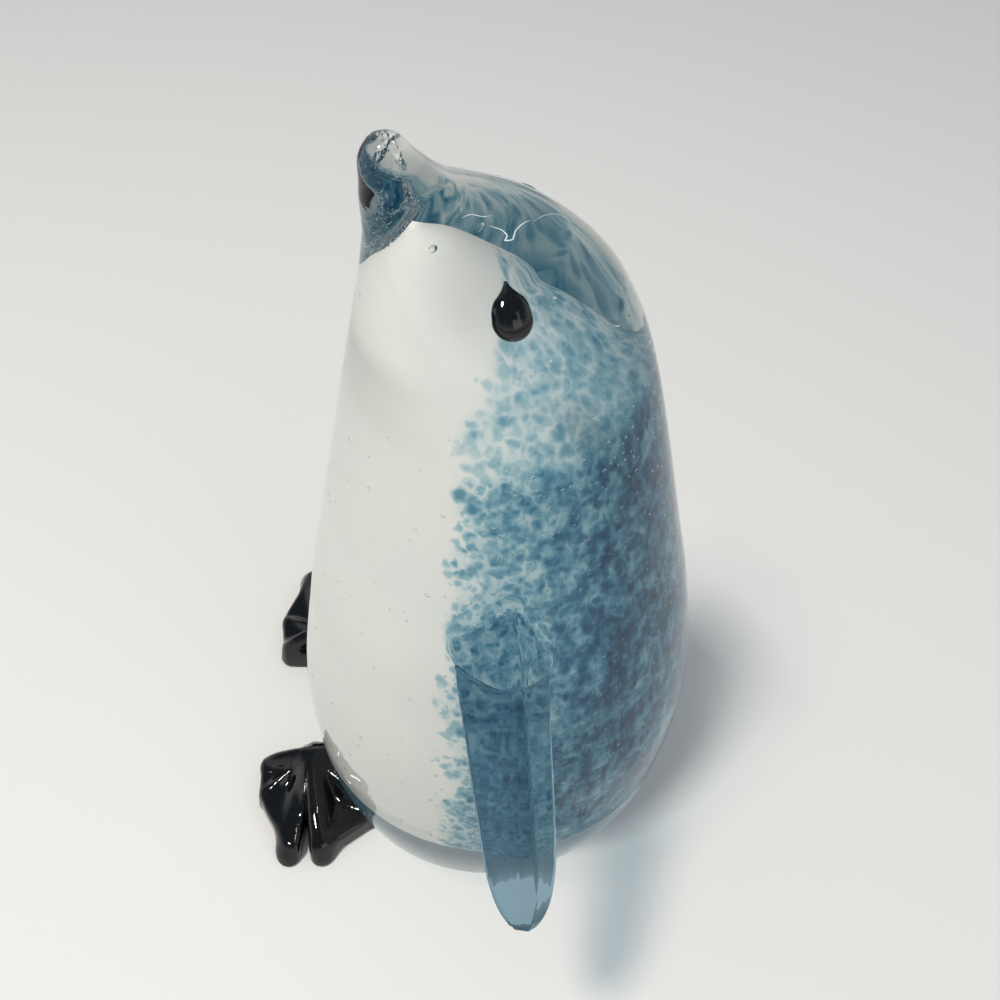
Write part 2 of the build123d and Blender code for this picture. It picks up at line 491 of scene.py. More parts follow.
@dataclass(frozen=True)
class ClearGlass:
    """The clear casing with both flippers, one continuous piece of glass."""

    body: Body
    fillet: float = 1.7 * MM
    cell: float = 1.04 * MM
    ground_height: float = 0.5 * MM
    drawn_depth: float = 0.5 * MM
    fine: tuple = (
        ((-0.056, -0.022), (0.022, 0.056)),
        ((-0.009, 0.019),),
        ((0.0, 0.004), (0.038, 0.082), (0.124, 0.132)),
    )

    def distance(self, at: Points) -> np.ndarray:
        """The field of all the clear glass."""
        whole = self.body.distance(at)
        for side in Side:
            near = at[:, 0] * side.value > self.body.diameter / 4
            flipper = Flipper(self.body, side).distance(at[near])
            whole[near] = melted(whole[near], flipper, self.fillet)
        return whole

    def build(
        self, material: bpy.types.Material, drawn: bpy.types.Material, ground: bpy.types.Material
    ) -> None:
        """Makes the glass and puts it in place of its CAD nodes.

        Args:
            material: the casing's finish.
            drawn: the flippers' finish; its blue-grey tint and darker shadow are painted shade.
            ground: the finish of the base, which is ground flat.
        """
        low, high = CAD_BOX
        piece = grown_piece("clear_body", self.distance, low, high, self.cell, self.fine)
        finish_piece(piece, material, Slot.CLEAR, "clear_casing", "left_flipper", "right_flipper")
        piece.data.materials.append(drawn)
        piece.data.materials.append(ground)
        middles = np.array([face.center for face in piece.data.polygons])
        part = np.where(self.body.distance(middles) > self.drawn_depth, 1, 0)
        part[middles[:, 2] < self.ground_height] = 2
        piece.data.polygons.foreach_set("material_index", part.astype(np.int32))


@dataclass(frozen=True)
class Core:
    """The coloured glass sealed inside the casing: rounded below, an oblique cone above.

    The shoulder, the peak and the crown's shares are the rounded results of a fit.
    """

    body: Body
    wall: float = 7.0 * MM
    layer: float = 2.4 * MM
    floor: float = 9.5 * MM
    shoulder: float = 90.5 * MM
    top: float = 119.0 * MM
    peak_lead: float = 8.2 * MM
    segments: int = 168
    ring_gap: float = 0.8 * MM
    side_shares: tuple = (0.0, 0.02, 0.06, 0.14, 0.29, 0.52, 0.76, 1.0)
    fullness_shares: tuple = (0.46, 0.69, 0.89, 0.985, 1.0, 1.0, 0.94, 0.87)
    crown_shares: tuple = (0.0, 0.06, 0.15, 0.30, 0.45, 0.60, 0.75, 0.88, 0.96, 1.0)
    crown_radius_shares: tuple = (1.0, 0.96, 0.90, 0.78, 0.65, 0.49, 0.33, 0.18, 0.06, 0.0)
    crown_lead_shares: tuple = (0.0, 0.03, 0.10, 0.27, 0.49, 0.64, 0.76, 0.87, 0.96, 1.0)
    split_at_base: float = -7.6 * MM
    split_rise: float = 0.08
    crown_split_height: float = 90.0 * MM
    crown_split_rise: float = 0.2238

    def rings(self, cover: float) -> np.ndarray:
        """Lists the rings of the surface that lies under some thickness of glass.

        Args:
            cover: the thickness of glass outside it.

        Returns:
            Rows of height, setback and radius, from the floor to the peak.
        """
        inset = cover - self.wall
        floor, peak = self.floor + inset, self.top - inset
        side = np.linspace(0.0, 1.0, int((self.shoulder - floor) / self.ring_gap)) ** 1.5
        heights = floor + side * (self.shoulder - floor)
        fullness = Eased(self.side_shares, self.fullness_shares)(side)
        setbacks = self.body.setback(heights)
        radii = (self.body.radius(heights) - cover) * fullness
        rise = np.linspace(0.0, 1.0, int((peak - self.shoulder) / self.ring_gap))[1:]
        lead = setbacks[-1] + self.peak_lead
        crown_heights = self.shoulder + rise * (peak - self.shoulder)
        crown_setbacks = setbacks[-1] - lead * Eased(self.crown_shares, self.crown_lead_shares)(rise)
        crown_radii = radii[-1] * Eased(self.crown_shares, self.crown_radius_shares)(rise)
        side_rows = np.stack([heights, setbacks, radii], axis=1)
        crown_rows = np.stack([crown_heights, crown_setbacks, crown_radii], axis=1)
        return np.concatenate([side_rows, crown_rows])

    def surface(self, name: str, cover: float) -> bpy.types.Object:
        """Makes the closed surface that lies under some thickness of glass.

        Args:
            name: the object's name.
            cover: the thickness of glass outside it.

        Returns:
            The object.
        """
        rows = self.rings(cover)
        low, high = rows[0], rows[-1]
        turn = np.arange(self.segments) * math.tau / self.segments
        rings = [
            np.stack([r * np.sin(turn), y - r * np.cos(turn), np.full_like(turn, z)], axis=1)
            for z, y, r in rows[:-1]
        ]
        return new_piece(name, *spun(rings, (0.0, low[1], low[0]), (0.0, high[1], high[0])))

    def front_space(self) -> bpy.types.Object:
        """Makes a block that fills the space in front of the line where white meets blue."""
        high, wide = self.body.height, self.body.diameter
        neck = self.split_at_base + self.split_rise * self.crown_split_height
        crown = neck + self.crown_split_rise * (high - self.crown_split_height)
        bend = (neck, self.crown_split_height)
        outline = [(-wide, 0.0), (self.split_at_base, 0.0), bend, (crown, high), (-wide, high)]
        points = np.array([(x, y, z) for x in (-wide, wide) for y, z in outline])
        count = len(outline)
        faces = [tuple(range(count))[::-1], tuple(range(count, 2 * count))]
        faces += [(n, (n + 1) % count, (n + 1) % count + count, n + count) for n in range(count)]
        return new_piece("front_space", points, faces)

    def build(self, colour: bpy.types.Material, clear: bpy.types.Material) -> None:
        """Makes the white front, the blue back and the clear gather inside them."""
        front = self.front_space()
        for name, operation, slot, node in (
            ("opal_front", "INTERSECT", Slot.WHITE, "white_front_layer"),
            ("frit_back", "DIFFERENCE", Slot.BLUE, "blue_back_layer"),
        ):
            piece = self.surface(name, self.wall)
            inner = self.surface("inner", self.wall + self.layer)
            cut(piece, inner, "DIFFERENCE")
            cut(piece, front, operation)
            bpy.data.objects.remove(inner)
            piece.data.set_sharp_from_angle(angle=math.radians(40.0))
            finish_piece(piece, colour, slot, node)
        bpy.data.objects.remove(front)
        gather = self.surface("gather", self.wall + self.layer)
        finish_piece(gather, clear, Slot.CLEAR, "clear_inner_gather")


def cut(piece: bpy.types.Object, tool: bpy.types.Object, operation: str) -> None:
    """Applies a Boolean operation to a piece's mesh.

    Args:
        piece: the object that changes.
        tool: the object it is cut by.
        operation: INTERSECT or DIFFERENCE.
    """
    modifier = piece.modifiers.new("cut", "BOOLEAN")
    modifier.object, modifier.operation, modifier.solver = tool, operation, "EXACT"
    graph = bpy.context.evaluated_depsgraph_get()
    mesh = bpy.data.meshes.new_from_object(piece.evaluated_get(graph))
    piece.modifiers.remove(modifier)
    piece.data = mesh


@dataclass(frozen=True)
class Foot:
    """A black webbed foot: glass bits pulled into toes, with a web pressed between them."""

    body: Body
    side: Side
    bearing: float
    turn_out: float
    standoff: float
    size: float = 1.0
    height: float = 8.6 * MM
    web: float = 4.0 * MM
    length: float = 20.0 * MM
    toe_width: float = 8.2 * MM
    ankle_depth: float = 4.0 * MM
    cell: float = 0.42 * MM
    toes: tuple = (
        (-50.0, 0.52, 0.62, 0.95),
        (-12.0, 0.60, 0.42, 0.74),
        (31.0, 1.0, 0.92, 0.74),
        (50.5, 1.0, 0.98, 1.0),
        (92.0, 0.88, 0.84, 0.88),
    )
    ankle_shares: tuple = (1.15, 0.90)
    taper: tuple = (
        (-0.14, 0.10, 0.50, 0.85, 1.0),
        (0.60, 1.0, 0.98, 0.74, 0.30),
        (0.70, 1.0, 0.86, 0.58, 0.20),
    )
    web_shares: tuple = (0.92, 0.98, 0.90, 0.93, 0.98, 0.90)
    crack: tuple = (41.0, 0.5, 1.1 * MM)
    toe_fillet: float = 0.8 * MM
    tip_round: float = 1.4 * MM
    web_fillet: float = 1.2 * MM
    crack_round: float = 1.0 * MM
    seat: float = 0.6 * MM
    ground_round: float = 0.5 * MM

    def root(self) -> np.ndarray:
        """Where the foot's root lies on the left side."""
        level = np.array(self.height / 2)
        reach = float(self.body.radius(level)) + self.standoff
        turn = math.radians(self.bearing)
        setback = float(self.body.setback(level))
        return np.array([math.sin(turn) * reach, setback - math.cos(turn) * reach, 0.0])

    def limbs(self) -> list[tuple[float, float, float, float]]:
        """Lists the toes and the ankle: bearing in radians, length, half width and height."""
        inwards = 180.0 + self.bearing - self.turn_out
        reach = (self.standoff + self.ankle_depth) / self.length / self.size
        return [
            (
                math.radians(bearing + self.turn_out),
                self.size * self.length * length,
                self.size * self.toe_width * width / 2,
                self.size * self.height * height,
            )
            for bearing, length, width, height in (*self.toes, (inwards, reach, *self.ankle_shares))
        ]

    def toe(self, local: Points, turn: float, length: float, half: float, tall: float) -> np.ndarray:
        """The field of one toe.

        Args:
            local: points, measured from the root.
            turn: where it points, in radians.
            length: its length.
            half: half its width.
            tall: its height.

        Returns:
            Distances to it.
        """
        reaches, widths, heights = self.taper
        along, across = along_and_across(local, turn)
        reach = along / length
        wide = half * Eased(reaches, widths)(reach)
        high = tall * Eased(reaches, heights)(reach)
        field = (np.hypot(across / wide, local[:, 2] / high) - 1.0) * np.minimum(wide, high)
        field = shared(field, (reach - 0.99) * length, self.tip_round)
        return np.maximum(field, (reaches[0] - reach) * length)

    def distance(self, at: Points) -> np.ndarray:
        """The foot's field: toes melted together over a web, cut flat by the ground."""
        local = self.side.mirror(at) - self.root()
        limbs = self.limbs()
        whole = self.toe(local, *limbs[0])
        for limb in limbs[1:]:
            whole = melted(whole, self.toe(local, *limb), self.toe_fillet)
        tips = [
            (math.sin(turn) * length * share, -math.cos(turn) * length * share)
            for (turn, length, _, _), share in zip(limbs, self.web_shares)
        ]
        web = local[:, 2] - self.web
        for (x0, y0), (x1, y1) in zip(tips, tips[1:] + tips[:1]):
            run, rise = x1 - x0, y1 - y0
            face = ((local[:, 0] - x0) * rise - (local[:, 1] - y0) * run) / math.hypot(run, rise)
            web = shared(web, face, self.tip_round)
        whole = melted(whole, web, self.web_fillet)
        bearing, start, wide = self.crack
        turn = math.radians(bearing + self.turn_out)
        along, across = along_and_across(local, turn)
        gap = wide * (along / self.length / self.size - start) / (1.0 - start)
        whole = shared(whole, gap - np.abs(across), self.crack_round)
        whole = np.maximum(whole, -self.body.distance(at) - self.seat)
        return shared(whole, -at[:, 2], self.ground_round)

    def build(self, material: bpy.types.Material) -> None:
        """Makes the foot and puts it in place of its CAD node."""
        node = f"{self.side.name.lower()}_foot"
        grow_black(f"webbed_{node}", node, self.distance, self.cell, material)


@dataclass(frozen=True)
class Eye:
    """A black drop seated in the surface, with the wisp where its rod pulled away."""

    body: Body
    side: Side
    width: float = 5.0 * MM
    length: float = 6.0 * MM
    depth: float = 3.2 * MM
    tail: float = 1.4 * MM
    sunk: float = 0.9 * MM
    height: float = 116.5 * MM
    bearing: float = 110.7
    cell: float = 0.2 * MM
    tail_shares: tuple = (0.0, 0.25, 0.5, 0.68, 0.82, 1.0)
    tail_width_shares: tuple = (1.0, 0.95, 0.76, 0.42, 0.19, 0.03)

    def seat(self) -> tuple[np.ndarray, np.ndarray]:
        """Finds the drop's middle and the directions it is turned to, on the left side.

        Returns:
            The middle, and the rows across, along and outward.
        """
        turn = math.radians(self.bearing)
        ray = np.array([math.sin(turn), -math.cos(turn), 0.0])
        steps = np.linspace(0.0, self.body.diameter, 6000)
        along = np.array([0.0, 0.0, self.height]) + steps[:, None] * ray
        inside = self.body.distance(along) < 0
        point = along[np.where(inside)[0][-1]]
        out = gradient(self.body.distance, point[None])[0]
        out /= np.linalg.norm(out)
        across = np.cross((0.0, 0.0, 1.0), out)
        across /= np.linalg.norm(across)
        return point - out * self.sunk, np.stack([across, np.cross(out, across), out])

    def distance(self, at: Points) -> np.ndarray:
        """The drop's field."""
        middle, rows = self.seat()
        local = (self.side.mirror(at) - middle) @ rows.T
        half = self.width / 2
        centre = -self.length / 2 + half
        up = (local[:, 1] - centre) / (self.length / 2 + self.tail - centre)
        taper = Eased(self.tail_shares, self.tail_width_shares)(np.clip(up, 0.0, 1.0))
        flat = self.depth / self.width
        round_ = np.hypot(local[:, 0], local[:, 2] / flat)
        bowl = np.sqrt(round_**2 + (local[:, 1] - centre) ** 2) - half
        point = np.maximum(round_ - half * taper, (up - 1.0) * 6 * MM)
        return np.where(up > 0, point, bowl) * 0.7

    def build(self, material: bpy.types.Material) -> None:
        """Makes the eye and puts it in place of its CAD node."""
        node = f"{self.side.name.lower()}_eye"
        grow_black(f"drop_{node}", node, self.distance, self.cell, material)


class Recipe:
    """A material whose node tree is built from sockets and values."""

    def __init__(self, name: str) -> None:
        """Starts an empty material."""
        self.material = bpy.data.materials.new(name)
        self.material.use_nodes = True
        self.tree = self.material.node_tree
        self.tree.nodes.clear()

    def put(self, socket: bpy.types.NodeSocket, value: object) -> None:
        """Feeds a socket with another socket's output or with a constant."""
        if isinstance(value, bpy.types.NodeSocket):
            self.tree.links.new(value, socket)
        else:
            socket.default_value = value

    def node(self, kind: str, inputs: dict, **settings: object) -> bpy.types.Node:
        """Adds a node.

        Args:
            kind: the node's type, without its ShaderNode prefix.
            inputs: values or sockets, by the input's name or number.
            settings: the node's own properties.

        Returns:
            The node.
        """
        node = self.tree.nodes.new("ShaderNode" + kind)
        for name, value in settings.items():
            setattr(node, name, value)
        for key, value in inputs.items():
            self.put(node.inputs[key], value)
        return node

    def math(self, operation: str, *values: object) -> bpy.types.NodeSocket:
        """Adds a math node and gives its result."""
        return self.node("Math", dict(enumerate(values)), operation=operation).outputs[0]

    def vector(self, operation: str, first: object, second: object) -> bpy.types.NodeSocket:
        """Adds a vector math node and gives its vector."""
        return self.node("VectorMath", {0: first, 1: second}, operation=operation).outputs[0]

    def span(
        self, value: object, low: object, high: object, first: float = 0.0, last: float = 1.0
    ) -> bpy.types.NodeSocket:
        """Maps a range smoothly onto another and gives the result."""
        inputs = {"Value": value, "From Min": low, "From Max": high, "To Min": first, "To Max": last}
        return self.node("MapRange", inputs, interpolation_type="SMOOTHSTEP").outputs[0]

    def blend(self, share: object, first: object, second: object) -> bpy.types.NodeSocket:
        """Mixes two colours and gives the result."""
        node = self.node("Mix", {0: share, 6: first, 7: second}, data_type="RGBA")
        return node.outputs[2]

    def noise(self, at: bpy.types.NodeSocket, scale: float, detail: float = 2.0) -> bpy.types.NodeSocket:
        """Adds a noise texture and gives its value."""
        return self.node("TexNoise", {"Vector": at, "Scale": scale, "Detail": detail}).outputs[0]

    def place(self) -> bpy.types.NodeSocket:
        """Gives the object's own coordinates in millimetres."""
        at = self.node("TexCoord", {}).outputs["Object"]
        return self.node("VectorMath", {0: at, "Scale": 1000.0}, operation="SCALE").outputs[0]

    def finish(self, shader: bpy.types.NodeSocket) -> bpy.types.Material:
        """Connects the shader to the output and gives the material."""
        self.node("OutputMaterial", {"Surface": shader})
        return self.material

    def see_through(self, glass: bpy.types.NodeSocket, glass_tint_and_painted_shade: tuple) -> bpy.types.NodeSocket:
        """Lets light straight through a glass shader, so that what it covers is lit cleanly.

        Args:
            glass: the glass shader.
            glass_tint_and_painted_shade: how the light is coloured on its way.

        Returns:
            The mixed shader.
        """
        path = self.node("LightPath", {}).outputs
        share = self.math("MAXIMUM", path["Is Shadow Ray"], path["Is Diffuse Ray"])
        clear = self.node("BsdfTransparent", {"Color": (*glass_tint_and_painted_shade, 1.0)}).outputs[0]
        return self.node("MixShader", {0: share, 1: glass, 2: clear}).outputs[0]


@dataclass(frozen=True)
class ClearFinish:
    """Fire-polished clear glass: faint cords, a sheared beak tip and drawn ripples below it.

    The cords run upright or, where the glass has a slant, down both flippers at that angle.
    """

    name: str = "clear_glass"
    index: float = 1.5
    glass_tint_and_painted_shade: tuple = (0.975, 0.99, 0.985)
    shade: tuple = (0.93, 0.95, 0.95)
    swell: float = 0.03
    cord: float = 0.16
    cord_stretch: float = 0.12
    slant: float = 0.0
    roughness: float = 0.0
    groove: float = 0.32
    ripple: float = 0.006
    creases: tuple = (
        ((0.9, -10.6, 130.7), (0.35, 0.9, -0.25), 0.20),
        ((0.3, -11.6, 130.6), (0.8, -0.5, 0.33), 0.16),
        ((0.6, -9.9, 130.0), (-0.2, 0.75, 0.62), 0.18),
    )

    def relief(self, r: Recipe, at: bpy.types.NodeSocket) -> bpy.types.NodeSocket:
        """Adds up the height of the surface's small marks, in millimetres."""
        part = r.node("SeparateXYZ", {0: at}).outputs
        aside = r.math("ABSOLUTE", part["X"]) if self.slant else part["X"]
        level, tilt = math.cos(self.slant), math.sin(self.slant)
        across = r.math("MULTIPLY_ADD", aside, level, r.math("MULTIPLY", part["Z"], tilt))
        back = r.math("MULTIPLY", aside, -self.cord_stretch * tilt)
        along = r.math("MULTIPLY_ADD", part["Z"], self.cord_stretch * level, back)
        cords = r.node("CombineXYZ", {0: across, 1: part["Y"], 2: along}).outputs[0]
        height = r.math("MULTIPLY", r.noise(cords, self.cord, 2.0), self.swell)
        tip = r.span(part["Z"], 128.6, 129.8)
        bend = r.math("MULTIPLY_ADD", r.noise(at, 0.8, 1.0), 1.2, -0.6)
        for place, across, width in self.creases:
            away = r.vector("SUBTRACT", at, place)
            away = r.node("VectorMath", {0: away, 1: across}, operation="DOT_PRODUCT").outputs["Value"]
            away = r.math("ABSOLUTE", r.math("ADD", away, bend))
            depth = r.math("MULTIPLY", r.span(away, 0.0, width * 2.4, 1.0, 0.0), tip)
            height = r.math("MULTIPLY_ADD", depth, -self.groove, height)
        above, below = r.span(part["Z"], 120.5, 122.5), r.span(part["Z"], 125.0, 127.0, 1.0, 0.0)
        throat = r.math("MULTIPLY", above, below)
        throat = r.math("MULTIPLY", throat, r.span(part["Y"], -9.5, -6.5, 1.0, 0.0))
        tilted = r.math("MULTIPLY_ADD", part["Z"], 7.0, r.math("MULTIPLY", part["Y"], 3.0))
        waves = r.math("SINE", r.math("ADD", tilted, r.math("MULTIPLY", r.noise(at, 0.5, 1.0), 6.0)))
        return r.math("ADD", height, r.math("MULTIPLY", r.math("MULTIPLY", waves, throat), self.ripple))

    def material(self) -> bpy.types.Material:
        """Makes the material."""
        r = Recipe(self.name)
        at = r.place()
        bump = r.node("Bump", {"Strength": 1.0, "Distance": MM, "Height": self.relief(r, at)}).outputs[0]
        colour = (*self.glass_tint_and_painted_shade, 1.0)
        inputs = {"Color": colour, "Roughness": self.roughness, "IOR": self.index, "Normal": bump}
        return r.finish(r.see_through(r.node("BsdfGlass", inputs).outputs[0], self.shade))


@dataclass(frozen=True)
class WispFinish:
    """The milky glass of the threads in the head."""

    def material(self) -> bpy.types.Material:
        """Makes the material."""
        r = Recipe("milky_thread")
        tone = r.span(r.noise(r.place(), 1.2, 2.0), 0.3, 0.7)
        colour = r.blend(tone, (0.82, 0.84, 0.85, 1.0), (0.66, 0.72, 0.76, 1.0))
        return r.finish(r.node("BsdfPrincipled", {"Base Color": colour, "Roughness": 0.4}).outputs[0])


@dataclass(frozen=True)
class AirFinish:
    """The inside of a bubble in glass."""

    index: float = 0.6667
    roughness: float = 0.02
    shade: tuple = (0.96, 0.97, 0.97)

    def material(self) -> bpy.types.Material:
        """Makes the material."""
        r = Recipe("air_bubble")
        inputs = {"Color": (1.0, 1.0, 1.0, 1.0), "Roughness": self.roughness, "IOR": self.index}
        return r.finish(r.see_through(r.node("BsdfGlass", inputs).outputs[0], self.shade))


@dataclass(frozen=True)
class BlackFinish:
    """Glossy opaque black glass with soft tool marks."""

    colour: tuple = (0.003, 0.003, 0.0035)
    smear: tuple = (0.006, 0.006, 0.007)
    mark: float = 0.06 * MM

    def material(self) -> bpy.types.Material:
        """Makes the material."""
        r = Recipe("black_glass")
        at = r.place()
        marks = r.noise(at, 0.55, 2.0)
        smear = r.noise(at, 1.7, 3.0)
        bump = r.node("Bump", {"Strength": 1.0, "Distance": self.mark, "Height": marks}).outputs[0]
        colour = r.blend(r.span(smear, 0.35, 0.75), (*self.colour, 1.0), (*self.smear, 1.0))
        shader = r.node(
            "BsdfPrincipled",
            {
                "Base Color": colour,
                "Roughness": r.span(smear, 0.3, 0.7, 0.03, 0.09),
                "Normal": bump,
                "Specular IOR Level": 0.5,
            },
        ).outputs[0]
        return r.finish(shader)


@dataclass(frozen=True)
class Frit:
    """One size of coloured grain, as a layer of soft blobs."""

    size: float
    strength: float
    chance: float
    ramp: float


@dataclass(frozen=True)
class FritFinish:
    """Opal white in front; behind, blue frit melted in, thickest away from the line between. The blue's
    deepening towards the back is partly painted shade, and painted light pales it on the crown.
    """

    core: Core
    white: tuple = (0.72, 0.695, 0.65)
    cool_white: tuple = (0.70, 0.685, 0.65)
    filter: tuple = (0.22, 0.45, 0.58)
    lean: float = 0.15
    wander: float = 9.0
    layers: tuple = (Frit(1.95, 0.62, 0.88, 3.5), Frit(1.4, 0.55, 0.85, 4.0), Frit(0.95, 0.42, 0.80, 6.0))

    def depth_behind(self, r: Recipe, at: bpy.types.NodeSocket) -> bpy.types.NodeSocket:
        """Measures how far a place lies behind the line where the colours meet, in millimetres."""
        part = r.node("SeparateXYZ", {0: at}).outputs
        core = self.core
        neck = (core.split_at_base + core.split_rise * core.crown_split_height) / MM
        first = r.math("MULTIPLY_ADD", part["Z"], core.split_rise, core.split_at_base / MM)
        start = neck - core.crown_split_rise * core.crown_split_height / MM
        second = r.math("MULTIPLY_ADD", part["Z"], core.crown_split_rise, start)
        line = r.math("MAXIMUM", first, second)
        aside = r.math("MULTIPLY_ADD", part["X"], -self.lean, 19.0 * self.lean)
        return r.math("ADD", r.math("SUBTRACT", part["Y"], line), aside)

    def material(self) -> bpy.types.Material:
        """Makes the material."""
        r = Recipe("opal_and_frit")
        at = r.place()
        part = r.node("SeparateXYZ", {0: at}).outputs
        bend = r.node("TexNoise", {"Vector": at, "Scale": 0.45, "Detail": 2.0}).outputs["Color"]
        bend = r.vector("SUBTRACT", bend, (0.5, 0.5, 0.5))
        bend = r.node("VectorMath", {0: bend, "Scale": 1.6}, operation="SCALE").outputs[0]
        bent = r.vector("ADD", r.vector("MULTIPLY", at, (1.0, 1.0, 0.8)), bend)
        wander = r.math("MULTIPLY_ADD", r.noise(at, 0.13, 3.0), self.wander, -self.wander / 2)
        depth = r.math("ADD", self.depth_behind(r, at), wander)
        drips = r.vector("MULTIPLY", at, (1.0, 1.0, 0.3))
        cloud = r.span(r.noise(bent, 0.28, 5.0), 0.32, 0.68, 0.55, 1.35)
        streak = r.span(r.noise(drips, 0.7, 4.0), 0.35, 0.68, 0.75, 1.25)
        # The first ramp is the frit's edge; the second deepens the blue towards the back, partly as thicker
        # frit and partly as painted shade on the side turned from the key lamp.
        body = r.math("ADD", r.span(depth, -0.6, 6.0, 0.0, 0.55), r.span(depth, 5.0, 24.0, 0.0, 1.4))
        total = r.math("MULTIPLY", r.math("MULTIPLY", body, cloud), streak)
        for n, layer in enumerate(self.layers):
            shift = (31.0 * n, 17.0 * n, 11.0 * n)
            moved = r.vector("ADD", bent, shift)
            cell = r.node("TexVoronoi", {"Vector": moved, "Scale": 1.0 / layer.size, "Randomness": 0.85})
            centre = r.vector("SUBTRACT", cell.outputs["Position"], shift)
            centre = r.vector("MULTIPLY", centre, (1.0, 1.0, 1.25))
            lot = r.node("SeparateColor", {0: cell.outputs["Color"]}).outputs
            local = r.math("ADD", self.depth_behind(r, centre), wander)
            chance = r.span(local, -1.2, layer.ramp, 0.0, layer.chance)
            chosen = r.math("LESS_THAN", lot[0], chance)
            reach = r.math("MULTIPLY_ADD", lot[1], 0.16, 0.42)
            start, end = r.math("SUBTRACT", reach, 0.27), r.math("ADD", reach, 0.12)
            disc = r.span(cell.outputs["Distance"], start, end, 1.0, 0.0)
            weight = r.math("MULTIPLY_ADD", lot[2], 0.5 * layer.strength, 0.7 * layer.strength)
            grain = r.math("MULTIPLY", r.math("MULTIPLY", disc, chosen), weight)
            total = r.math("ADD", total, grain)
        # Painted light: above the shoulder the blue is paled, where the crown's slope faces the key lamp.
        crown = r.span(part["Z"], 89.5, 93.5, 1.0, 0.55)
        total = r.math("MULTIPLY", total, crown)
        colour = r.node("Gamma", {"Color": (*self.filter, 1.0), "Gamma": total}).outputs[0]
        warmth = r.span(r.noise(at, 0.08, 3.0), 0.35, 0.65)
        white = r.blend(warmth, (*self.white, 1.0), (*self.cool_white, 1.0))
        inputs = {0: 1.0, 6: white, 7: colour}
        colour = r.node("Mix", inputs, data_type="RGBA", blend_type="MULTIPLY").outputs[2]
        inputs = {"Base Color": colour, "Roughness": 0.7, "Specular IOR Level": 0.0}
        return r.finish(r.node("BsdfPrincipled", inputs).outputs[0])


